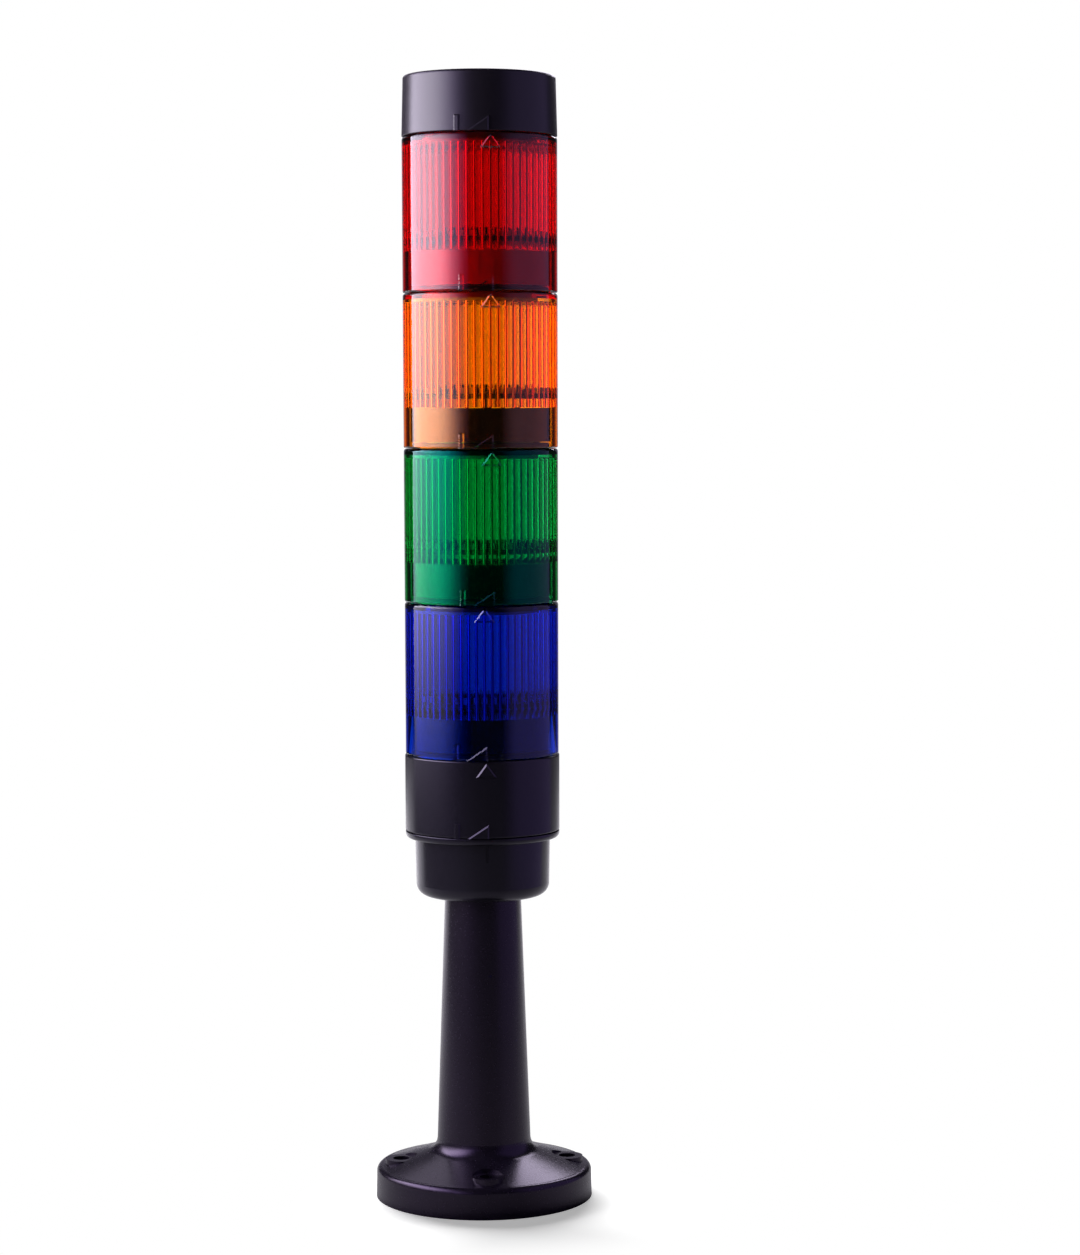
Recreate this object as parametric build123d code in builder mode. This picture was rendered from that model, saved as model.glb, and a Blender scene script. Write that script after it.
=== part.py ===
# Stack light: four ribbed lens elements, a cap and a terminal element, joined by bayonets,
# on a collar that takes the end of a hollow column moulded in one with its round foot.
# Millimetres. +Z runs up the tower, the origin is the centre of the foot's underside and
# -Y is the front, where the marks of the bayonets stand.
import os
from math import cos, degrees, radians, sin, tan

from build123d import *

os.makedirs("parts", exist_ok=True)

# Tower
element_d = 50.0          # lens elements across
element_h = 49.75         # one lens element, joint to joint
terminal_h = 25.1         # terminal element, joint to joint
terminal_d = 50.5
cap_h = 19.4
cap_top_d = 49.1          # the cap narrows from its rim to its top
cap_rim_d = 50.1
edge_r = 0.5              # rounding of the lower rim of each element
shoulder_r = 1.0          # rounding of a lens around its seal
rim_gap = 0.2             # between the rims of two elements

# How far each piece is turned about the tower's axis, in degrees
collar_turn = 2.0
terminal_turn = 3.0
light_turns = {"blue": 2.0, "green": 8.0, "amber": 7.5, "red": 8.0}
cap_turn = 5.0

# Walls
lens_wall = 1.8
lens_plate = 2.0
shell_wall = 2.2

# Ribs inside each lens
rib_count = 60
rib_depth = 0.9
rib_low = 13.2            # above the element's lower joint
rib_stop = 2.95           # below the element's upper joint

# Bayonet: lugs on the lower piece's spigot turn over a shelf in the upper piece's socket
spigot_r = 19.4
spigot_wall = 2.0
spigot_h = 8.4
lug_count = 3
lug_deg = 16.0
lug_out = 1.6
lug_low = 4.8             # underside of the lugs above the joint
lug_h = 2.4
bayonet_gap = 0.3         # around the spigot and the lugs
shelf_low = 2.2           # underside of the socket's shelf above the joint
entry_turn = 21.7         # upper piece against the lower one where the lugs drop in
stop_turn = -3.5          # and where they meet the far stop
stop_deg = 5.0

# Seal ring on the shoulder around each spigot
seal_h = 1.8
seal_r = 22.2
seal_fit = 0.1            # around the spigot

# Marks of the bayonet on the front: a bar and a ramp above each joint, a triangle below it
mark_h = 0.5
mark_slope = 0.45
mark_root = 0.6
bar_w = 1.9
bar_h = 5.0
ramp_w = 6.9
ramp_h = 4.6
triangle_w = 6.8
triangle_h = 4.6
triangle_drop = 0.6
ramp_turn = 1.8           # ramp's upright edge against the triangle of the same piece
swing = 23.5              # from the bar to the ramp's upright edge

# Base inside each lens
base_gap = 0.6            # between base and lens wall
base_high = 13.0
floor_low = 9.6
floor_t = 1.8
slot_w = 1.1              # slot in the front of the base, open above
slot_low = 4.8            # above the element's lower joint
slot_depth = 0.8
slot_turn = -7.5

# Contacts: rods that carry the wiring from joint to joint
rod_count = 6
rod_step = 30.0
rod_ring_r = 12.0
rod_r = 0.7
rod_head_r = 1.3
rod_head_h = 0.7
rod_fit = 0.05
guide_in_r = 8.4          # guide ring around the rods' lower ends
guide_out_r = 15.6
guide_low = 4.0
rod_reach = 0.5           # below the guide ring
head_rise = 2.5           # contact head above the joint
head_web = 2.0
head_flange_r = 18.6
head_flange_t = 1.2
head_gap = 0.2            # between contact head and lens plate
plate_hole_r = 17.0

# LED board
board_r = 17.6
board_t = 1.6
board_low = 16.0
post_count = 3
post_inset = 2.9          # post's axis from the board's edge
post_r = 1.5
pin_r = 0.9
pin_rise = 0.6            # of the post's pin above the board
board_fit = 0.15
led_count = 9
led_inset = 2.4
led_size = (3.5, 2.8, 1.9)
chip_ring_r = 7.0
chip_size = (5.0, 4.0, 1.4)
capacitor_r = 2.0
capacitor_h = 2.9
capacitor_ring_r = 11.3

# Terminal block
block_h = 9.5
block_in_r = 7.4
block_out_r = 17.0
chamber_wall = 0.6        # between two chambers at their inner ends
chamber_l = 6.4
chamber_h = 8.0
clamp_fit = 0.3           # around a clamp in its chamber
clamp_l = 5.6
clamp_h = 5.0
clamp_t = 0.5
block_screw_deg = 30.0    # each side of the front
screw_r = 1.25
screw_head_r = 2.5
screw_head_h = 1.8
screw_grip = 1.6          # into the housing's plate

# Collar
collar_low = 100.5
collar_high = 122.0
collar_d = 44.2
collar_low_d = 43.5
collar_bottom_r = 4.2
flange_d = 50.4
flange_t = 2.3
flange_r = 1.5
pocket_low = 104.0
sleeve_t = 2.6
collar_bar_w = 1.0
collar_bar_h = 5.6
collar_bar_depth = 0.4
set_screw_r = 2.0
set_screw_z = 109.0
set_screw_deg = 35.0      # each side of the back
set_screw_fit = 0.1
hex_r = 1.1
hex_depth = 2.5
boss_wall = 1.6

# Column
pipe_d = 25.0             # straight end inside the collar
pipe_fit = 0.1
pipe_wall = 2.6
pipe_top = 117.2
pipe_stop_t = 2.0
column_foot_d = 31.0      # at the fillet above the foot
column_fillet = 5.0

# Foot
foot_d = 71.4
rim_draft = 0.25
foot_edge_r = 2.0
foot_edge_z = 10.3        # outer end of the sloping top
slope_deg = 17.5
rim_wall = 3.9
foot_skin = 3.0
ring_t = 2.4              # ring around the cable's way in
foot_rib_t = 2.0
foot_rib_count = 8
hole_count = 4
hole_ring_d = 55.0
hole_d = 5.5
hole_turn = 2.6
pad_d = 10.4
pad_z = 12.4
gasket_w = 1.6
gasket_h = 1.0
gasket_fit = 0.1

# Worked out
element_r = element_d / 2
lens_in_r = element_r - lens_wall
base_r = lens_in_r - base_gap
socket_r = spigot_r + bayonet_gap
lug_r = spigot_r + lug_out
channel_r = lug_r + bayonet_gap
shelf_h = lug_low - bayonet_gap - shelf_low
lug_space = lug_h + 2 * bayonet_gap
gap_deg = degrees(bayonet_gap / spigot_r)
joint_z = {"terminal": collar_high}
joint_z["blue"] = collar_high + terminal_h
joint_z["green"] = joint_z["blue"] + element_h
joint_z["amber"] = joint_z["green"] + element_h
joint_z["red"] = joint_z["amber"] + element_h
joint_z["cap"] = joint_z["red"] + element_h
rod_angles = [90 + rod_step * (k - (rod_count - 1) / 2) for k in range(rod_count)]
chamber_w = 2 * (rod_ring_r - chamber_l / 2) * tan(radians(rod_step / 2)) - chamber_wall
clamp_w = chamber_w - 2 * clamp_fit
post_ring_r = board_r - post_inset
led_ring_r = board_r - led_inset
rib_high = element_h - rib_stop


def level(z, turn=0.0):
    """Horizontal plane at a height, turned about the tower's axis."""
    return Plane.XY.offset(z).rotated((0, 0, turn))


def front(r, z, turn):
    """Upright plane facing outwards at a radius, turned from the front."""
    angle = radians(turn - 90)
    outward = Vector(cos(angle), sin(angle), 0)
    return Plane(outward * r + Vector(0, 0, z), x_dir=(-sin(angle), cos(angle), 0), z_dir=outward)


def polar(r, deg):
    """Point of a flat sketch at a radius and an angle."""
    return (r * cos(radians(deg)), r * sin(radians(deg)))


def section(*points):
    """Half-section in the XZ plane, as (radius, height) points."""
    with BuildSketch(Plane.XZ) as half:
        with BuildLine():
            Polyline(*points, close=True)
        make_face()
    return half.sketch


def sector(r_in, r_out, start, width):
    """Part of a ring between two radii, from an angle."""
    with BuildSketch() as part_ring:
        with BuildLine():
            outer = CenterArc((0, 0), r_out, start, width)
            inner = CenterArc((0, 0), r_in, start, width)
            Line(outer @ 0, inner @ 0)
            Line(outer @ 1, inner @ 1)
        make_face()
    return part_ring.sketch


def sectors(plane, count, r_in, r_out, start, width):
    """The same part of a ring, repeated evenly around the axis."""
    piece = sector(r_in, r_out, start, width)
    with BuildSketch(plane) as ring:
        with PolarLocations(0, count):
            add(piece)
    return ring.sketch


def discs(plane, r, ring_r, angles):
    """Discs on a ring at given angles."""
    with BuildSketch(plane) as row:
        with Locations(*[polar(ring_r, deg) for deg in angles]):
            Circle(r)
    return row.sketch


def circle_edges(part, z, r):
    """Round edges of a part at a height and a radius."""
    ring = part.edges().filter_by(GeomType.CIRCLE)
    ring = ring.filter_by(lambda edge: abs(edge.center(CenterOf.BOUNDING_BOX).Z - z) < 0.01)
    return ring.filter_by(lambda edge: abs(edge.radius - r) < 0.01)


def lugs(joint, turn):
    """Bayonet lugs on the spigot above a joint."""
    ring = sectors(level(joint + lug_low, turn), lug_count, spigot_r - spigot_wall / 2, lug_r,
                   -lug_deg / 2, lug_deg)
    extrude(ring, amount=lug_h)


def socket(joint, turn, wall_r, merge_r):
    """Bayonet shelf above a joint, with the ways in for the lugs and the stops beside their run."""
    way_in = lug_deg + 2 * gap_deg
    with BuildSketch(level(joint + shelf_low, turn)) as shelf:
        Circle(merge_r)
        Circle(socket_r, mode=Mode.SUBTRACT)
        with PolarLocations(0, lug_count):
            add(sector(socket_r - 1, channel_r, -entry_turn - way_in / 2, way_in), mode=Mode.SUBTRACT)
    extrude(shelf.sketch, amount=shelf_h)
    run_top = level(joint + shelf_low + shelf_h, turn)
    lock_side = -stop_turn + lug_deg / 2 + gap_deg
    entry_side = -entry_turn - way_in / 2 - stop_deg
    for start in (lock_side, entry_side):
        stops = sectors(run_top, lug_count, socket_r, (wall_r + merge_r) / 2, start, stop_deg)
        extrude(stops, amount=lug_space)


def raised_mark(plane, points, open_below):
    """Mark with sloping sides, its foot sunk in the wall; some end square at the joint below."""
    with BuildPart() as mark:
        with BuildSketch(plane):
            with BuildLine():
                Polyline(*points, close=True)
            make_face()
        extrude(amount=mark_root + mark_h)
        rim = mark.faces().sort_by(Axis(plane.origin, plane.z_dir))[-1].edges()
        if open_below:
            rim = rim - rim.group_by(Axis.Z)[0]
        chamfer(rim, mark_slope)
    add(mark.part)


def bar_and_ramp(joint, turn, r):
    """Marks above a joint: the bar for putting on and the ramp that ends at the lock."""
    bar_plane = front(r - mark_root, joint + rim_gap, turn + ramp_turn - swing)
    raised_mark(bar_plane, [(-bar_w / 2, 0), (bar_w / 2, 0), (bar_w / 2, bar_h), (-bar_w / 2, bar_h)], True)
    half_deg = degrees(ramp_w / 2 / r)
    ramp_plane = front(r - mark_root, joint + rim_gap, turn + ramp_turn - half_deg)
    raised_mark(ramp_plane, [(-ramp_w / 2, 0), (ramp_w / 2, 0), (ramp_w / 2, ramp_h)], True)


def triangle(top, turn, r):
    """Triangle that points at the joint above."""
    corners = [(0, 0), (-triangle_w / 2, -triangle_h), (triangle_w / 2, -triangle_h)]
    raised_mark(front(r - mark_root, top - triangle_drop, turn), corners, False)


def save(part, label):
    """Label a finished piece and write it."""
    part.label = label
    export_step(part, f"parts/{label}.step")


# Column and foot: revolved skin, hollow from below, with ribs, screw bosses and sunk pads
column_r = column_foot_d / 2
pipe_r = pipe_d / 2
bore_r = pipe_r - pipe_wall
foot_r = foot_d / 2
slope = tan(radians(slope_deg))
slope_out_r = foot_r - foot_edge_r - rim_draft
slope_top_z = foot_edge_z + (slope_out_r - column_r) * slope
ring_in_r = column_r - pipe_wall
ring_out_r = ring_in_r + ring_t
cavity_out_r = foot_r - rim_wall
hole_ring_r = hole_ring_d / 2
hole_angles = [hole_turn + k * 360 / hole_count for k in range(hole_count)]


def slope_z(r):
    """Height of the foot's sloping top at a radius."""
    return foot_edge_z + (slope_out_r - r) * slope


with BuildPart() as column_foot:
    skin = section(
        (0, 0), (foot_r, 0), (foot_r - rim_draft, foot_edge_z), (slope_out_r, foot_edge_z),
        (column_r, slope_top_z), (pipe_r, collar_low - rim_gap), (pipe_r, pipe_top), (0, pipe_top))
    revolve(skin)
    fillet(circle_edges(column_foot.part, slope_top_z, column_r), column_fillet)
    fillet(circle_edges(column_foot.part, foot_edge_z, foot_r - rim_draft), foot_edge_r)
    bore = section((0, 0), (ring_in_r, 0), (ring_in_r, slope_top_z), (bore_r, collar_low),
                   (bore_r, pipe_top), (0, pipe_top))
    revolve(bore, mode=Mode.SUBTRACT)
    cavity = section((ring_out_r, 0), (ring_out_r, slope_z(ring_out_r) - foot_skin - 1.0),
                     (cavity_out_r, slope_z(cavity_out_r) - foot_skin), (cavity_out_r, 0))
    revolve(cavity, mode=Mode.SUBTRACT)
    with BuildSketch(level(0, hole_turn + 180 / foot_rib_count)) as ribs:
        with PolarLocations((ring_out_r + cavity_out_r) / 2, foot_rib_count):
            Rectangle(cavity_out_r - ring_out_r + 2 * mark_root, foot_rib_t)
    extrude(ribs.sketch, amount=foot_edge_z - foot_skin)
    bosses = discs(level(0), pad_d / 2, hole_ring_r, hole_angles)
    extrude(bosses, amount=pad_z)
    above_pads = discs(level(pad_z), pad_d / 2, hole_ring_r, hole_angles)
    extrude(above_pads, amount=slope_top_z, mode=Mode.SUBTRACT)
    holes = discs(level(0), hole_d / 2, hole_ring_r, hole_angles)
    extrude(holes, amount=pad_z, mode=Mode.SUBTRACT)
    groove_r = foot_r - rim_wall / 2
    groove_in_r = groove_r - gasket_w / 2 - gasket_fit
    groove_out_r = groove_r + gasket_w / 2 + gasket_fit
    groove = section((groove_in_r, 0), (groove_out_r, 0), (groove_out_r, gasket_h), (groove_in_r, gasket_h))
    revolve(groove, mode=Mode.SUBTRACT)
save(column_foot.part, "column_foot")

with BuildPart() as foot_gasket:
    with BuildSketch():
        Circle(groove_r + gasket_w / 2)
        Circle(groove_r - gasket_w / 2, mode=Mode.SUBTRACT)
    extrude(amount=gasket_h)
save(foot_gasket.part, "foot_gasket")


# Collar: flanged cup around the column's end, with the first spigot on top
def spigot_points(joint):
    """Half-section points of the spigot, from its outer foot to its inner foot."""
    return [(spigot_r, joint), (spigot_r, joint + spigot_h), (spigot_r - spigot_wall, joint + spigot_h),
            (spigot_r - spigot_wall, joint)]


collar_r = collar_d / 2
collar_low_r = collar_low_d / 2
flange_low = collar_high - flange_t
sleeve_r = pipe_r + pipe_fit + sleeve_t
inside_r = spigot_r - spigot_wall
stop_high = pipe_top + pipe_stop_t
if sleeve_r < inside_r:
    pocket = [(inside_r, pocket_low), (sleeve_r, pocket_low), (sleeve_r, stop_high)]
else:
    pocket = [(inside_r, stop_high)]      # the sleeve fills the spigot
screw_angles = [90 - set_screw_deg, 90 + set_screw_deg]
screw_out_r = collar_low_r - mark_root

with BuildPart() as pipe_collar:
    cup = section(
        (pipe_r + pipe_fit, collar_low), (collar_low_r, collar_low), (collar_r, flange_low),
        (flange_d / 2, flange_low), (flange_d / 2, collar_high), *spigot_points(collar_high),
        *pocket, (bore_r, stop_high), (bore_r, pipe_top), (pipe_r + pipe_fit, pipe_top))
    revolve(cup)
    fillet(circle_edges(pipe_collar.part, collar_low, collar_low_r), collar_bottom_r)
    fillet(circle_edges(pipe_collar.part, flange_low, flange_d / 2), flange_r)
    fillet(circle_edges(pipe_collar.part, collar_high, flange_d / 2), edge_r / 2)
    lugs(collar_high, collar_turn)
    for deg in screw_angles:
        with BuildSketch(front(sleeve_r - 1, set_screw_z, deg + 90)) as boss:
            Circle(set_screw_r + boss_wall)
        extrude(boss.sketch, amount=spigot_r - sleeve_r)
        with BuildSketch(front(0, set_screw_z, deg + 90)) as screw_hole:
            Circle(set_screw_r + set_screw_fit)
        extrude(screw_hole.sketch, amount=collar_r, mode=Mode.SUBTRACT)
    with BuildSketch(front(collar_r - collar_bar_depth, flange_low, collar_turn + ramp_turn)) as collar_bar:
        Rectangle(collar_bar_w, collar_bar_h, align=(Align.CENTER, Align.MAX))
    extrude(collar_bar.sketch, amount=collar_bar_depth + mark_h, mode=Mode.SUBTRACT)
save(pipe_collar.part, "pipe_collar")

with BuildPart() as collar_screws:
    for deg in screw_angles:
        with BuildSketch(front(pipe_r, set_screw_z, deg + 90)) as shank:
            Circle(set_screw_r)
        extrude(shank.sketch, amount=screw_out_r - pipe_r)
        with BuildSketch(front(screw_out_r - hex_depth, set_screw_z, deg + 90)) as key:
            RegularPolygon(hex_r, 6)
        extrude(key.sketch, amount=hex_depth, mode=Mode.SUBTRACT)
save(collar_screws.part, "collar_screws")


def make_seal(name, joint):
    """Flat sealing ring on the shoulder around a spigot."""
    with BuildPart() as seal:
        with BuildSketch(level(joint)):
            Circle(seal_r)
            Circle(spigot_r + seal_fit, mode=Mode.SUBTRACT)
        extrude(amount=seal_h)
        fillet(circle_edges(seal.part, joint + seal_h, seal_r), seal_h / 3)
    save(seal.part, name)


make_seal("collar_seal", joint_z["terminal"])

# Terminal element: closed on top around the contacts, open below for wiring
term_low = joint_z["terminal"]
term_high = joint_z["blue"]
term_r = terminal_d / 2
plate_low = term_high - lens_plate
shell_in_r = term_r - shell_wall

with BuildPart() as terminal_housing:
    shell = section(
        (shell_in_r, term_low + rim_gap), (term_r, term_low + rim_gap), (term_r, term_high),
        *spigot_points(term_high), (guide_out_r, term_high), (guide_out_r, term_high + head_rise),
        (0, term_high + head_rise), (0, plate_low), (shell_in_r, plate_low))
    revolve(shell)
    fillet(circle_edges(terminal_housing.part, term_low + rim_gap, term_r), edge_r)
    fillet(circle_edges(terminal_housing.part, term_high, term_r), edge_r)
    socket(term_low, terminal_turn, shell_in_r, shell_in_r + shell_wall / 2)
    lugs(term_high, terminal_turn)
    bar_and_ramp(term_low, terminal_turn, term_r)
    triangle(term_high, terminal_turn, term_r)
    rod_holes = discs(level(plate_low, terminal_turn), rod_r + rod_fit, rod_ring_r, rod_angles)
    extrude(rod_holes, amount=lens_plate + head_rise, mode=Mode.SUBTRACT)
    block_screw_angles = [-90 - block_screw_deg, -90 + block_screw_deg]
    block_screw_ring_r = (block_in_r + block_out_r) / 2
    pilot_holes = discs(level(plate_low, terminal_turn), screw_r, block_screw_ring_r, block_screw_angles)
    extrude(pilot_holes, amount=screw_grip + rim_gap, mode=Mode.SUBTRACT)
save(terminal_housing.part, "terminal_housing")

block_low = plate_low - block_h

with BuildPart() as terminal_block:
    with BuildSketch(level(block_low)):
        Circle(block_out_r)
        Circle(block_in_r, mode=Mode.SUBTRACT)
    extrude(amount=block_h)
    with BuildSketch(level(block_low, terminal_turn)) as chambers:
        with Locations(*[Location(polar(rod_ring_r, deg), deg) for deg in rod_angles]):
            Rectangle(chamber_l, chamber_w)
    extrude(chambers.sketch, amount=chamber_h, mode=Mode.SUBTRACT)
    rod_holes = discs(level(block_low, terminal_turn), rod_r + rod_fit, rod_ring_r, rod_angles)
    extrude(rod_holes, amount=block_h, mode=Mode.SUBTRACT)
    screw_holes = discs(level(block_low, terminal_turn), screw_r + rod_fit, block_screw_ring_r,
                        block_screw_angles)
    extrude(screw_holes, amount=block_h, mode=Mode.SUBTRACT)
save(terminal_block.part, "terminal_block")

with BuildPart() as block_screws:
    heads = discs(level(block_low - screw_head_h, terminal_turn), screw_head_r, block_screw_ring_r,
                  block_screw_angles)
    extrude(heads, amount=screw_head_h)
    shanks = discs(level(block_low, terminal_turn), screw_r, block_screw_ring_r, block_screw_angles)
    extrude(shanks, amount=block_h + screw_grip)
save(block_screws.part, "block_screws")

# Clamp springs: a folded strip in each chamber, under the end of its rod
clamp_top = block_low + chamber_h - rod_head_h

with BuildPart() as terminal_clamps:
    for deg in rod_angles:
        with BuildSketch(front(rod_ring_r, clamp_top - clamp_h, terminal_turn + deg + 90)) as blank:
            Rectangle(clamp_w, clamp_h, align=(Align.CENTER, Align.MIN))
        extrude(blank.sketch, amount=clamp_l / 2, both=True)
    for deg in rod_angles:
        with BuildSketch(front(rod_ring_r, clamp_top - clamp_h, terminal_turn + deg + 90)) as inside:
            with Locations((0, clamp_t)):
                Rectangle(clamp_w - 2 * clamp_t, clamp_h - 2 * clamp_t, align=(Align.CENTER, Align.MIN))
        extrude(inside.sketch, amount=clamp_l, both=True, mode=Mode.SUBTRACT)
save(terminal_clamps.part, "terminal_clamps")


def make_rods(name, low, top, turn):
    """Contact rods with a flat head that stands on the contact head of their element."""
    with BuildPart() as rods:
        extrude(discs(level(low, turn), rod_r, rod_ring_r, rod_angles), amount=top - low)
        extrude(discs(level(top, turn), rod_head_r, rod_ring_r, rod_angles), amount=rod_head_h)
    save(rods.part, name)


make_rods("terminal_rods", clamp_top, term_high + head_rise, terminal_turn)
make_seal("terminal_seal", term_high)


# Light elements
def beads():
    """Closed outline of the half-round ribs inside a lens."""
    step = 360 / rib_count
    with BuildSketch() as outline:
        with BuildLine():
            for k in range(rib_count):
                ThreePointArc(polar(lens_in_r, k * step), polar(lens_in_r - rib_depth, (k + 0.5) * step),
                              polar(lens_in_r, (k + 1) * step))
        make_face()
    return outline.sketch


bead_outline = beads()


def make_lens(name, low, turn):
    """Coloured shell with ribs inside, moulded in one with its plate and spigot."""
    high = low + element_h
    with BuildPart() as lens:
        shell = section(
            (lens_in_r, low + rim_gap), (element_r, low + rim_gap), (element_r, high), *spigot_points(high),
            (plate_hole_r, high), (plate_hole_r, high - lens_plate), (lens_in_r, high - lens_plate))
        revolve(shell)
        fillet(circle_edges(lens.part, low + rim_gap, element_r), edge_r)
        fillet(circle_edges(lens.part, high, element_r), shoulder_r)
        with BuildSketch(level(low + rib_low, turn)) as ribs:
            Circle(lens_in_r + lens_wall / 2)
            add(bead_outline, mode=Mode.SUBTRACT)
        extrude(ribs.sketch, amount=rib_high - rib_low)
        lugs(high, turn)
        bar_and_ramp(low, turn, element_r)
        triangle(high, turn, element_r)
    save(lens.part, name)


def make_base(name, low, turn):
    """Dark base: socket ring and floor, guide ring for the rods, posts for the board."""
    floor_high = low + floor_low + floor_t
    with BuildPart() as base:
        body = section(
            (0, low + floor_low), (guide_in_r, low + floor_low), (guide_in_r, low + guide_low),
            (guide_out_r, low + guide_low), (guide_out_r, low + floor_low), (channel_r, low + floor_low),
            (channel_r, low + shelf_low), (base_r, low + shelf_low), (base_r, low + base_high),
            (channel_r, low + base_high), (channel_r, floor_high), (0, floor_high))
        revolve(body)
        socket(low, turn, channel_r, (channel_r + base_r) / 2)
        post_angles = [-90 + k * 360 / post_count for k in range(post_count)]
        posts = discs(level(floor_high, turn), post_r, post_ring_r, post_angles)
        extrude(posts, amount=low + board_low - floor_high)
        pins = discs(level(low + board_low, turn), pin_r, post_ring_r, post_angles)
        extrude(pins, amount=board_t + pin_rise)
        with BuildSketch(front(base_r - slot_depth, low + slot_low, turn + slot_turn)) as slot:
            Rectangle(slot_w, base_high - slot_low, align=(Align.CENTER, Align.MIN))
        extrude(slot.sketch, amount=2 * slot_depth, mode=Mode.SUBTRACT)
        rod_holes = discs(level(low + guide_low, turn), rod_r + rod_fit, rod_ring_r, rod_angles)
        extrude(rod_holes, amount=floor_high - low - guide_low, mode=Mode.SUBTRACT)
    save(base.part, name)


def make_head(name, high, turn):
    """Contact head in the opening of the lens plate, held under the plate by its flange."""
    plate_under = high - lens_plate
    with BuildPart() as head:
        body = section(
            (0, high + head_rise - head_web), (guide_in_r, high + head_rise - head_web),
            (guide_in_r, plate_under - head_flange_t), (head_flange_r, plate_under - head_flange_t),
            (head_flange_r, plate_under), (plate_hole_r - head_gap, plate_under),
            (plate_hole_r - head_gap, high + head_rise), (0, high + head_rise))
        revolve(body)
        rod_holes = discs(level(plate_under - head_flange_t, turn), rod_r + rod_fit, rod_ring_r, rod_angles)
        extrude(rod_holes, amount=head_flange_t + lens_plate + head_rise, mode=Mode.SUBTRACT)
    save(head.part, name)


def make_board(name, low, turn):
    """Round LED board on the base's posts."""
    post_angles = [-90 + k * 360 / post_count for k in range(post_count)]
    with BuildPart() as board:
        with BuildSketch(level(low + board_low, turn)) as disc:
            Circle(board_r)
            add(discs(level(0), pin_r + board_fit, post_ring_r, post_angles), mode=Mode.SUBTRACT)
            add(discs(level(0), rod_r + board_fit, rod_ring_r, rod_angles), mode=Mode.SUBTRACT)
        extrude(disc.sketch, amount=board_t)
    save(board.part, name)


def make_leds(name, low, turn):
    """LEDs in a ring on the board, between the posts."""
    length, width, height = led_size
    angles = [-90 + (k + 0.5) * 360 / led_count for k in range(led_count)]
    with BuildPart() as leds:
        with BuildSketch(level(low + board_low + board_t, turn)) as seats:
            with Locations(*[Location(polar(led_ring_r, deg), deg + 90) for deg in angles]):
                Rectangle(length, width)
        extrude(seats.sketch, amount=height)
    save(leds.part, name)


def make_board_parts(name, low, turn):
    """Driver chips and capacitors on the board."""
    length, width, height = chip_size
    top = level(low + board_low + board_t, turn)
    with BuildPart() as board_parts:
        with BuildSketch(top) as chips:
            with PolarLocations(chip_ring_r, 3, start_angle=30):
                Rectangle(width, length)
        extrude(chips.sketch, amount=height)
        extrude(discs(top, capacitor_r, capacitor_ring_r, [-125, -90, -55]), amount=capacitor_h)
    save(board_parts.part, name)


for colour, turn in light_turns.items():
    low = joint_z[colour]
    high = low + element_h
    make_lens(f"{colour}_lens", low, turn)
    make_base(f"{colour}_base", low, turn)
    make_head(f"{colour}_contact_head", high, turn)
    make_rods(f"{colour}_rods", low + guide_low - rod_reach, high + head_rise, turn)
    make_board(f"{colour}_led_board", low, turn)
    make_leds(f"{colour}_leds", low, turn)
    make_board_parts(f"{colour}_board_parts", low, turn)
    make_seal(f"{colour}_seal", high)

# Cap: closed on top, with the last socket inside
cap_low = joint_z["cap"]
cap_high = cap_low + cap_h
cap_rim_r = cap_rim_d / 2
cap_top_r = cap_top_d / 2

with BuildPart() as cap:
    hood = section(
        (cap_rim_r - shell_wall, cap_low + rim_gap), (cap_rim_r, cap_low + rim_gap), (cap_top_r, cap_high),
        (0, cap_high), (0, cap_high - shell_wall), (cap_top_r - shell_wall, cap_high - shell_wall))
    revolve(hood)
    fillet(circle_edges(cap.part, cap_low + rim_gap, cap_rim_r), edge_r / 2)
    fillet(circle_edges(cap.part, cap_high, cap_top_r), edge_r * 2)
    socket(cap_low, cap_turn, cap_rim_r - shell_wall, cap_rim_r - shell_wall / 2)
    bar_and_ramp(cap_low, cap_turn, cap_rim_r)
save(cap.part, "cap")
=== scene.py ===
"""Looks of the stack light: materials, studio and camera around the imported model.

Metres, in the frame of the CAD: +Z runs up the tower, -Y is the front, the foot stands on z = 0.
Every piece keeps its CAD shape and takes its finish by the name of its material slot.
"""
from math import cos, log, radians, sin

import bpy
from mathutils import Matrix, Vector

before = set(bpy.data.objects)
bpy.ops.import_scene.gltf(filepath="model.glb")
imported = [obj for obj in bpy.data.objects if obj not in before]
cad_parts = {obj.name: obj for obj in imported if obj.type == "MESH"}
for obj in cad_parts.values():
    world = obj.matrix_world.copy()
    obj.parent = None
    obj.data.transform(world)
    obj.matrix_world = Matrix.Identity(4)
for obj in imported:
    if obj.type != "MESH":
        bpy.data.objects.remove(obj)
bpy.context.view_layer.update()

MM = 0.001
WHITE = (1, 1, 1, 1)


# Colours and nodes

RANGE, MATH, NOISE = "ShaderNodeMapRange", "ShaderNodeMath", "ShaderNodeTexNoise"
SPLIT, MIX, PATH = "ShaderNodeSeparateXYZ", "ShaderNodeMix", "ShaderNodeLightPath"
GLOW, BLEND, SURFACE = "ShaderNodeEmission", "ShaderNodeMixShader", "ShaderNodeOutputMaterial"
MIX_SHARE, MIX_FIRST, MIX_SECOND, MIXED = 0, 6, 7, 2    # sockets of a Mix node that mixes colours


def linear(code):
    """Linear RGBA of an sRGB hex code."""
    parts = [int(code[i:i + 2], 16) / 255 for i in (1, 3, 5)]
    return tuple(c / 12.92 if c <= 0.04045 else ((c + 0.055) / 1.055) ** 2.4 for c in parts) + (1.0,)


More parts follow.
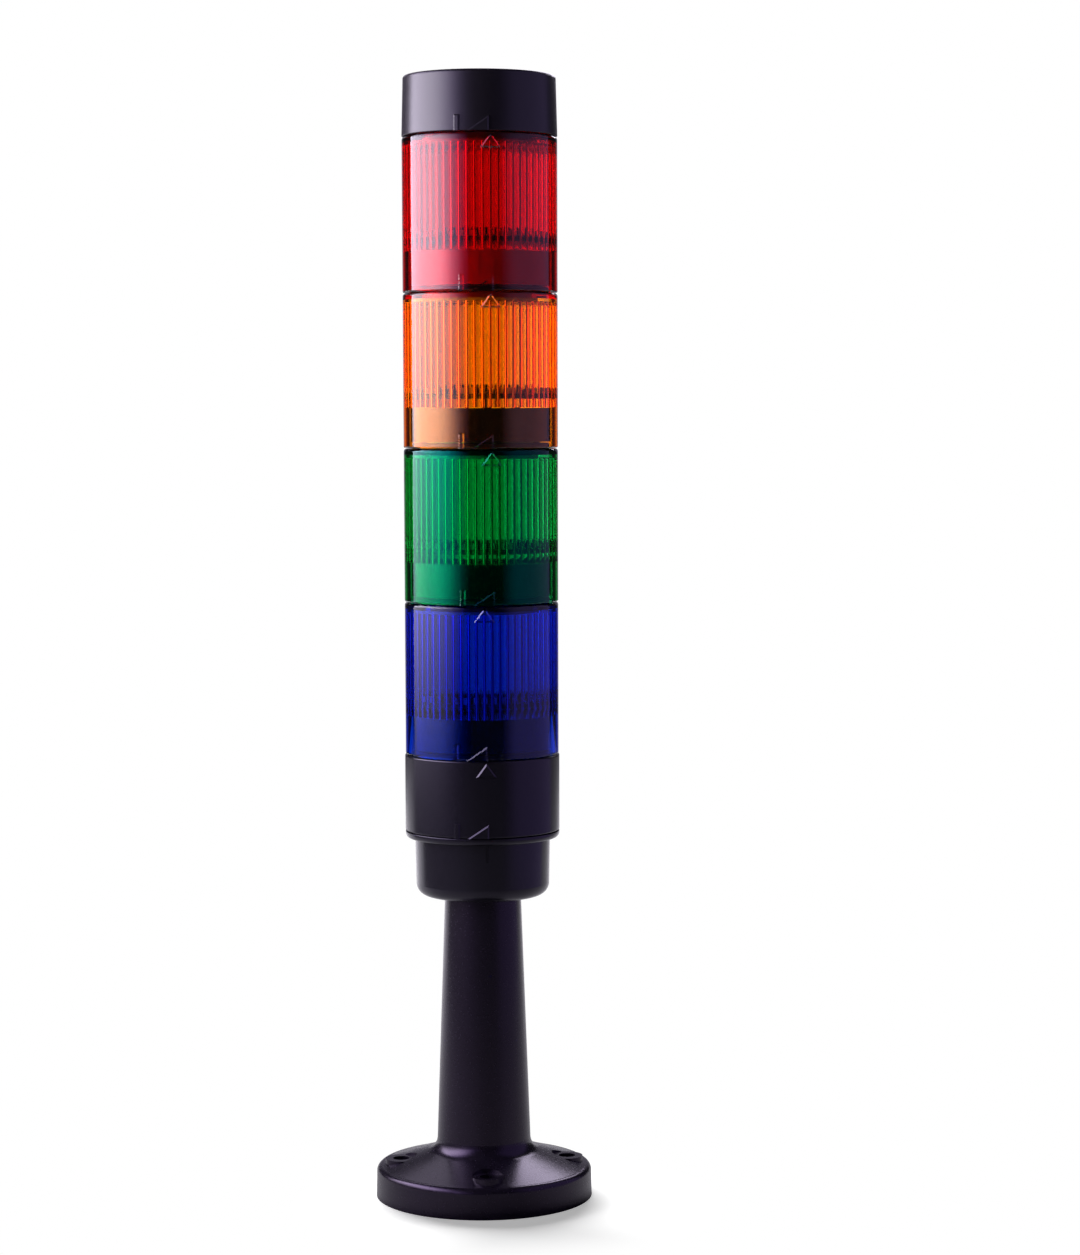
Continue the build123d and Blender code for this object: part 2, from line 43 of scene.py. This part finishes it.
def node(tree, kind, inputs=None, **settings):
    """Adds a node with its settings. An input takes a value, a socket, or a node for that node's first output."""
    made = tree.nodes.new(kind)
    for name, value in settings.items():
        setattr(made, name, value)
    for name, value in (inputs or {}).items():
        if isinstance(value, bpy.types.Node):
            value = value.outputs[0]
        if isinstance(value, bpy.types.NodeSocket):
            tree.links.new(value, made.inputs[name])
        else:
            made.inputs[name].default_value = value
    return made


def new_material(name):
    """A material with an empty node tree, that tree and its Object coordinates."""
    material = bpy.data.materials.new(name)
    material.use_nodes = True
    tree = material.node_tree
    tree.nodes.clear()
    return material, tree, node(tree, "ShaderNodeTexCoord").outputs["Object"]


# Finishes

LUMP = 0.5                                         # a lump of noise is about half as wide as one of its cells
NOISE_SPAN = {"From Min": 0.3, "From Max": 0.7}    # the values that most of the noise lies between
DRIFT = 9 * MM                                     # size of the patches in which a colour drifts


def opaque(name, tones, rough, lump, depth, sockets=None):
    """An opaque finish: a colour that drifts between two tones, and an uneven surface.

    One noise sets both the bump and the roughness. rough is the range of roughness, lump the size of the
    bump's lumps and depth their height, in metres. sockets holds further values of the shader.
    """
    material, tree, place = new_material(name)
    cloud = node(tree, NOISE, {"Vector": place, "Scale": LUMP / DRIFT, "Detail": 2.0, "Roughness": 0.5})
    tone = node(tree, RANGE, {"Value": cloud, **NOISE_SPAN})
    colour = node(tree, MIX, {MIX_SHARE: tone, MIX_FIRST: linear(tones[0]), MIX_SECOND: linear(tones[1])},
                  data_type="RGBA")
    skin = node(tree, NOISE, {"Vector": place, "Scale": LUMP / lump, "Detail": 3.0, "Roughness": 0.6})
    gloss = node(tree, RANGE, {"Value": skin, **NOISE_SPAN, "To Min": rough[0], "To Max": rough[1]})
    bump = node(tree, "ShaderNodeBump", {"Height": skin, "Strength": 1.0, "Distance": depth})
    shader = node(tree, "ShaderNodeBsdfPrincipled", {
        "Base Color": colour.outputs[MIXED], "Roughness": gloss, "Normal": bump, **(sockets or {})})
    node(tree, SURFACE, {"Surface": shader})
    return material


LENS_WALL = 1.8 * MM
LENS_INDEX = 1.58           # polycarbonate
LENS_ROUGH = (0.012, 0.03)
LENS_RIPPLE = 6 * MM        # width of the faint waves of a moulded wall
LENS_RIPPLE_DEPTH = 0.002 * MM


def lens(name, passes, sheen=(1, 1, 1)):
    """Clear dyed plastic, which takes light out of a ray by exp(-loss * distance), one loss for each colour.

    passes is the share of red, green and blue that is left after one lens wall, and sheen tints what the
    surface mirrors.
    """
    material, tree, place = new_material(name)
    skin = node(tree, NOISE, {"Vector": place, "Scale": LUMP / LENS_RIPPLE, "Detail": 1.0, "Roughness": 0.5})
    gloss = node(tree, RANGE, {"Value": skin, **NOISE_SPAN, "To Min": LENS_ROUGH[0], "To Max": LENS_ROUGH[1]})
    bump = node(tree, "ShaderNodeBump", {"Height": skin, "Strength": 1.0, "Distance": LENS_RIPPLE_DEPTH})
    shader = node(tree, "ShaderNodeBsdfPrincipled", {
        "Base Color": WHITE, "Transmission Weight": 1.0, "IOR": LENS_INDEX, "Specular Tint": (*sheen, 1),
        "Roughness": gloss, "Normal": bump})
    loss = [-log(share) / LENS_WALL for share in passes]
    density = max(loss)
    dye = node(tree, "ShaderNodeVolumeAbsorption", {
        "Color": tuple(1 - part / density for part in loss) + (1,), "Density": density})
    node(tree, SURFACE, {"Surface": shader, "Volume": dye})
    return material


FINISH = {
    # Glass-filled nylon from a spark-eroded mould: a fine grain that breaks up the highlights on column and
    # foot. It is drawn at 0.4 mm, coarser than the real one, so that it shows. The index is just under
    # nylon's 1.53, and the tint gives the slight violet of the photographed blacks.
    "grained_black": opaque("pa66_spark_eroded_black", ("#120F16", "#15121A"), (0.22, 0.28), 0.40 * MM, 0.024 * MM,
                            {"IOR": 1.50, "Specular Tint": (0.86, 0.70, 1.0, 1)}),
    # ABS from a finely finished mould: an even black without grain, with a soft sheen and the same violet.
    "satin_black": opaque("abs_satin_black", ("#121116", "#15141A"), (0.20, 0.25), 0.5 * MM, 0.002 * MM,
                          {"IOR": 1.55, "Specular Tint": (0.84, 0.78, 1.0, 1)}),
    # Polycarbonate from a smooth mould: a warm black that shows as a dark band behind the lens. The index is
    # over the usual 1.58, to match how much light that band gives back.
    "gloss_black": opaque("pc_gloss_black", ("#1C1819", "#221D1F"), (0.20, 0.27), 2 * MM, 0.002 * MM,
                          {"IOR": 1.66}),
    # ABS from a smooth mould: a full red that keeps the red element bright down to its base. The index is
    # over the usual 1.54, for the same reason.
    "gloss_red": opaque("abs_gloss_red", ("#F0201E", "#F82624"), (0.20, 0.26), 2 * MM, 0.002 * MM,
                        {"IOR": 1.60}),
    # Undyed moulded nylon: a warm off-white, half matt.
    "natural_white": opaque("pa66_natural", ("#DAD6C8", "#E3DFD2"), (0.35, 0.45), 0.4 * MM, 0.004 * MM),
    # Grey moulded nylon: a cool, nearly matt grey.
    "block_grey": opaque("pa66_moulded_grey", ("#8E9194", "#9A9DA0"), (0.40, 0.50), 0.3 * MM, 0.004 * MM),
    # Glass epoxy board under solder mask: a deep green with a wavy gloss.
    "board_green": opaque("fr4_solder_mask", ("#265538", "#2F6645"), (0.22, 0.32), 1 * MM, 0.01 * MM),
    # Moulded epoxy of chips: a dull dark grey.
    "chip_black": opaque("moulded_epoxy_black", ("#1B1B1D", "#242426"), (0.5, 0.62), 0.1 * MM, 0.004 * MM),
    # Fired ceramic of the LED bodies: near white, half matt.
    "led_white": opaque("led_ceramic_white", ("#E4E2DA", "#EDEBE4"), (0.35, 0.45), 0.3 * MM, 0.004 * MM),
    # Drawn brass: a yellow metal shine, a little uneven.
    "contact_brass": opaque("brass_drawn", ("#B08D4A", "#BC9A55"), (0.18, 0.28), 0.3 * MM, 0.004 * MM,
                            {"Metallic": 1.0}),
    # Zinc-plated steel: a pale grey shine, softer than the brass.
    "zinc_steel": opaque("steel_zinc_plated", ("#A9ABAD", "#B6B8BA"), (0.25, 0.36), 0.2 * MM, 0.004 * MM,
                         {"Metallic": 1.0}),
    # Rolled spring steel: a darker grey shine.
    "spring_steel": opaque("steel_spring_bright", ("#9A9B9D", "#A6A7A9"), (0.2, 0.3), 0.2 * MM, 0.003 * MM,
                           {"Metallic": 1.0}),
    # Moulded nitrile rubber: a dull black line at each joint.
    "black_rubber": opaque("nbr_rubber_black", ("#141416", "#1B1B1D"), (0.5, 0.62), 0.3 * MM, 0.01 * MM),
    # Polycarbonate dyed through and moulded against polished steel: a clear wall whose colour deepens in ribs
    # and at edges, under a sharp gloss. The tints of the gloss are matched to the photograph.
    "red_lens": lens("polycarbonate_red", (0.85, 0.02, 0.03)),
    "amber_lens": lens("polycarbonate_amber", (0.995, 0.58, 0.02), (1, 1, 0.85)),
    "green_lens": lens("polycarbonate_green", (0.03, 0.66, 0.31), (0, 1, 0.8)),
    "blue_lens": lens("polycarbonate_blue", (0.03, 0.25, 0.81), (0.85, 0.9, 1)),
}
# Moulded ASA: a satin black a little lighter than the housings below, so the cap has it for its own.
CAP_FINISH = opaque("asa_satin_black", ("#19171B", "#1E1B20"), (0.28, 0.33), 0.5 * MM, 0.002 * MM, {"IOR": 1.57})

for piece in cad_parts.values():
    slot = piece.material_slots[0]
    slot.material = FINISH[slot.material.name]
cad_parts["cap"].material_slots[0].material = CAP_FINISH


# Light cloths

WIDTH_FROM, WIDTH_TO = 0.10, 0.26    # heights between which the width of a cloth's fall changes
INNER_FROM, INNER_TO = 0.12, 0.20    # heights between which the level for rays inside a lens changes
CROSSED = 0.5                        # a ray has gone into a lens when it has crossed more surfaces than this


def side_cloth(name, peak, full_from, widths, power, rise, top, spread, shares, steepness, inner):
    """Light cloth that glows fully from one azimuth on, and dims towards the front, low down and high up.

    The glow is peak * level * share * exp(-steepness * (short ** power + above ** 2)), with one share and
    steepness each for red, green and blue. short is the angle that is missing to full_from, over the width,
    and above is the height over top, over the spread. The level climbs from 0 to 1 between the two heights of
    rise. widths and inner hold a value for low down and one for high up, and inner is the least level that a
    ray inside a lens sees. Angles are in degrees from the front, heights in metres.
    """
    material, tree, place = new_material(name)
    x, y, z = node(tree, SPLIT, {0: place}).outputs
    aside = node(tree, MATH, {0: x}, operation="ABSOLUTE")
    forward = node(tree, MATH, {0: y, 1: -1.0}, operation="MULTIPLY")
    azimuth = node(tree, MATH, {0: aside, 1: forward}, operation="ARCTAN2")
    missing = node(tree, MATH, {0: radians(full_from), 1: azimuth}, operation="SUBTRACT")
    missing = node(tree, MATH, {0: missing, 1: 0.0}, operation="MAXIMUM")
    width = node(tree, RANGE, {"Value": z, "From Min": WIDTH_FROM, "From Max": WIDTH_TO,
                               "To Min": radians(widths[0]), "To Max": radians(widths[1])})
    short = node(tree, MATH, {0: missing, 1: width}, operation="DIVIDE")
    short = node(tree, MATH, {0: short, 1: power}, operation="POWER")
    over = node(tree, MATH, {0: z, 1: top}, operation="SUBTRACT")
    over = node(tree, MATH, {0: over, 1: 0.0}, operation="MAXIMUM")
    above = node(tree, MATH, {0: over, 1: spread}, operation="DIVIDE")
    above = node(tree, MATH, {0: above, 1: 2.0}, operation="POWER")
    fall = node(tree, MATH, {0: short, 1: above}, operation="ADD")
    level = node(tree, RANGE, {"Value": z, "From Min": rise[0], "From Max": rise[1]},
                 interpolation_type="SMOOTHSTEP")
    least = node(tree, RANGE, {"Value": z, "From Min": INNER_FROM, "From Max": INNER_TO,
                               "To Min": inner[0], "To Max": inner[1]})
    crossings = node(tree, PATH).outputs["Transmission Depth"]
    within = node(tree, MATH, {0: crossings, 1: CROSSED}, operation="GREATER_THAN")
    least = node(tree, MATH, {0: least, 1: within}, operation="MULTIPLY")
    level = node(tree, MATH, {0: level, 1: least}, operation="MAXIMUM")
    parts = {}
    for part, share, steep in zip(("Red", "Green", "Blue"), shares, steepness):
        left = node(tree, MATH, {0: fall, 1: -steep}, operation="MULTIPLY")
        left = node(tree, MATH, {0: left}, operation="EXPONENT")
        parts[part] = node(tree, MATH, {0: left, 1: share}, operation="MULTIPLY")
    colour = node(tree, "ShaderNodeCombineColor", parts)
    strength = node(tree, MATH, {0: level, 1: peak}, operation="MULTIPLY")
    glow = node(tree, GLOW, {"Color": colour, "Strength": strength})
    node(tree, SURFACE, {"Surface": glow})
    return material


def back_cloth():
    """Light cloth whose glow rises from left to right."""
    material, tree, place = new_material("back_cloth")
    x = node(tree, SPLIT, {0: place}).outputs["X"]
    rising = node(tree, RANGE, {"Value": x, "From Min": -0.20, "From Max": 0.25, "To Min": 0.9, "To Max": 4.8},
                  interpolation_type="SMOOTHSTEP")
    glow = node(tree, GLOW, {"Color": (0.98, 0.92, 1.1, 1), "Strength": rising})
    node(tree, SURFACE, {"Surface": glow})
    return material


FLOOR_GREY = (0.42, 0.41, 0.44, 1)     # what the tower sees of the floor
FLOOR_PALE = (0.9, 0.9, 0.9, 1)        # what the camera sees of it near the foot
SHADOW_LIFT = 0.40                     # light that the camera sees in the shadow, so that it stays soft
SHADOW_MIDDLE = (0.008, -0.014, 0)
SHADOW_FROM, SHADOW_TO = 0.042, 0.072  # distances from there over which the floor turns plain white
REAR_FROM, REAR_TO = -0.03, 0.03       # depths over which the floor seen through a lens turns white


def floor_paper():
    """White paper that is grey to the tower, and to the camera keeps the shadow close to the foot.

    Further out it is plain white to the camera, and behind the tower also to rays that come through a lens.
    """
    material, tree, place = new_material("floor_paper")
    path = node(tree, PATH).outputs
    seen = path["Is Camera Ray"]
    depth = node(tree, SPLIT, {0: place}).outputs["Y"]
    rear = node(tree, RANGE, {"Value": depth, "From Min": REAR_FROM, "From Max": REAR_TO})
    through = node(tree, MATH, {0: path["Is Transmission Ray"], 1: rear}, operation="MULTIPLY")
    clear = node(tree, MATH, {0: through, 1: seen}, operation="MAXIMUM")
    tone = node(tree, MIX, {MIX_SHARE: seen, MIX_FIRST: FLOOR_GREY, MIX_SECOND: FLOOR_PALE}, data_type="RGBA")
    paper = node(tree, "ShaderNodeBsdfDiffuse", {"Color": tone.outputs[MIXED]})
    lift = node(tree, MATH, {0: seen, 1: SHADOW_LIFT}, operation="MULTIPLY")
    soft = node(tree, GLOW, {"Color": WHITE, "Strength": lift})
    near = node(tree, "ShaderNodeAddShader", {0: paper, 1: soft})
    plain = node(tree, GLOW, {"Color": WHITE, "Strength": 1.0})
    away = node(tree, "ShaderNodeVectorMath", {0: place, 1: SHADOW_MIDDLE}, operation="SUBTRACT")
    reach = node(tree, "ShaderNodeVectorMath", {0: away}, operation="LENGTH").outputs["Value"]
    far = node(tree, RANGE, {"Value": reach, "From Min": SHADOW_FROM, "From Max": SHADOW_TO},
               interpolation_type="SMOOTHSTEP")
    share = node(tree, MATH, {0: far, 1: clear}, operation="MULTIPLY")
    both = node(tree, BLEND, {0: share, 1: near, 2: plain})
    node(tree, SURFACE, {"Surface": both})
    return material


# Studio

def studio_sheet(name, corners, material):
    """A flat four-cornered sheet that is no part of the object."""
    mesh = bpy.data.meshes.new(name)
    mesh.from_pydata(corners, [], [(0, 1, 2, 3)])
    mesh.materials.append(material)
    made = bpy.data.objects.new(name, mesh)
    bpy.context.scene.collection.objects.link(made)
    return made


def side_sheet(name, x, front, top, material):
    """An upright sheet beside the tower, from the depth front to SHEET_REAR and up to the height top."""
    corners = [(x, front, SHEET_FOOT), (x, SHEET_REAR, SHEET_FOOT), (x, SHEET_REAR, top), (x, front, top)]
    return studio_sheet(name, corners, material)


SIDE = 0.5                             # distance of the side sheets from the tower
SHEET_REAR, SHEET_FOOT = 0.30, -0.05
left_sheet = side_sheet("left_sheet", -SIDE, -1.6, 1.1, side_cloth(
    "left_cloth", peak=6.8, full_from=88, widths=(44, 43), power=3.2, rise=(0.035, 0.38), top=0.42, spread=0.30,
    shares=(1.0, 0.91, 1.13), steepness=(0.925, 1.0, 0.79), inner=(0.35, 1.05)))
right_sheet = side_sheet("right_sheet", SIDE, -0.8, 0.9, side_cloth(
    "right_cloth", peak=0.42, full_from=60, widths=(22, 22), power=2.5, rise=(-0.05, -0.04), top=0.50, spread=0.6,
    shares=(0.58, 0.44, 1.0), steepness=(1.0, 1.0, 1.0), inner=(0.0, 0.0)))

BACK = 0.75                            # distance of the back sheet behind the tower
BACK_LEFT, BACK_RIGHT = -0.40, 0.45
BACK_FOOT, BACK_TOP = 0.50, 0.95
back_sheet = studio_sheet("back_sheet", [
    (BACK_LEFT, BACK, BACK_FOOT), (BACK_RIGHT, BACK, BACK_FOOT),
    (BACK_RIGHT, BACK, BACK_TOP), (BACK_LEFT, BACK, BACK_TOP)], back_cloth())

FLOOR = 1.2                            # half the width of the floor
floor = studio_sheet("floor", [(-FLOOR, -FLOOR, 0), (FLOOR, -FLOOR, 0), (FLOOR, FLOOR, 0), (-FLOOR, FLOOR, 0)],
                     floor_paper())

LAMP_PLACE = Vector((-0.24, 0.85, 0.55))
lamp_data = bpy.data.lights.new("floor_lamp", "AREA")
lamp_data.shape = "RECTANGLE"
lamp_data.size = 1.0
lamp_data.size_y = 0.45
lamp_data.energy = 25.0
lamp = bpy.data.objects.new("floor_lamp", lamp_data)
bpy.context.scene.collection.objects.link(lamp)
lamp.matrix_world = Matrix.Translation(LAMP_PLACE) @ LAMP_PLACE.to_track_quat("Z", "Y").to_matrix().to_4x4()
lamp.visible_camera = False

# The lamp lights the floor only, and the sheets light the tower only.
lit_by_lamp = bpy.data.collections.new("lit_by_floor_lamp")
lit_by_lamp.objects.link(floor)
lamp.light_linking.receiver_collection = lit_by_lamp
lit_by_sheets = bpy.data.collections.new("lit_by_sheets")
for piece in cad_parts.values():
    lit_by_sheets.objects.link(piece)
for made in (left_sheet, right_sheet, back_sheet):
    made.visible_camera = False
    made.visible_shadow = False
    made.light_linking.receiver_collection = lit_by_sheets
back_sheet.visible_transmission = False


# World

ROOM_COLOUR = (0.95, 0.90, 1.1, 1)
ROOM_DIM, ROOM_BRIGHT = 0.02, 0.30     # level of the room, and of its part straight behind the tower


def studio_world():
    """Plain white to the camera, a dim room to the tower, and white windows to rays inside a lens.

    Bounds are on the part of a ray's direction that points backwards, 1 being straight back. One window is
    straight behind the tower, and one is aside at the left.
    """
    world = bpy.data.worlds.new("studio")
    world.use_nodes = True
    tree = world.node_tree
    tree.nodes.clear()
    path = node(tree, PATH).outputs
    ray = node(tree, "ShaderNodeTexCoord").outputs["Generated"]
    across, towards = node(tree, SPLIT, {0: ray}).outputs[:2]
    middle = node(tree, RANGE, {"Value": towards, "From Min": 0.90, "From Max": 0.97})
    aside = node(tree, RANGE, {"Value": towards, "From Min": 0.66, "From Max": 0.52})
    back_half = node(tree, RANGE, {"Value": towards, "From Min": 0.0, "From Max": 0.2})
    at_left = node(tree, MATH, {0: across, 1: 0.0}, operation="LESS_THAN")
    aside = node(tree, MATH, {0: aside, 1: at_left}, operation="MULTIPLY")
    aside = node(tree, MATH, {0: aside, 1: back_half}, operation="MULTIPLY")
    windows = node(tree, MATH, {0: middle, 1: aside}, operation="MAXIMUM")
    within = node(tree, MATH, {0: path["Transmission Depth"], 1: CROSSED}, operation="GREATER_THAN")
    windows = node(tree, MATH, {0: within, 1: windows}, operation="MULTIPLY")
    share = node(tree, MATH, {0: windows, 1: path["Is Camera Ray"]}, operation="MAXIMUM")
    dim = node(tree, RANGE, {"Value": towards, "From Min": 0.90, "From Max": 0.99,
                             "To Min": ROOM_DIM, "To Max": ROOM_BRIGHT})
    room = node(tree, "ShaderNodeBackground", {"Color": ROOM_COLOUR, "Strength": dim})
    plain = node(tree, "ShaderNodeBackground", {"Color": WHITE, "Strength": 1.0})
    both = node(tree, BLEND, {0: share, 1: room, 2: plain})
    node(tree, "ShaderNodeOutputWorld", {"Surface": both})
    return world


bpy.context.scene.world = studio_world()


# Camera, as fitted to the outline of the tower in the photograph

STANDS = Vector((0.00030, -1.02769, 0.26049))
YAW, TILT, ROLL = radians(1.0389), radians(5.8420), radians(-0.1639)
ahead = Vector((sin(YAW) * cos(TILT), cos(YAW) * cos(TILT), -sin(TILT)))
level = Vector((cos(YAW), -sin(YAW), 0))
raised = level.cross(ahead)
side = level * cos(ROLL) + raised * sin(ROLL)
up = raised * cos(ROLL) - level * sin(ROLL)
camera_data = bpy.data.cameras.new("camera")
camera_data.lens = 90.499
camera_data.sensor_fit = "AUTO"
camera_data.sensor_width = 36.0
camera_data.shift_y = 0.08
camera_data.clip_start = 0.05
camera_data.clip_end = 20
camera = bpy.data.objects.new("camera", camera_data)
bpy.context.scene.collection.objects.link(camera)
camera.matrix_world = Matrix.Translation(STANDS) @ Matrix((side, up, -ahead)).transposed().to_4x4()
bpy.context.scene.camera = camera

# Light crosses many lens walls and ribs, so it needs more bounces than usual.
cycles = bpy.context.scene.cycles
cycles.max_bounces = 20
cycles.transmission_bounces = 20
cycles.glossy_bounces = 8
bpy.context.scene.view_settings.view_transform = "Standard"
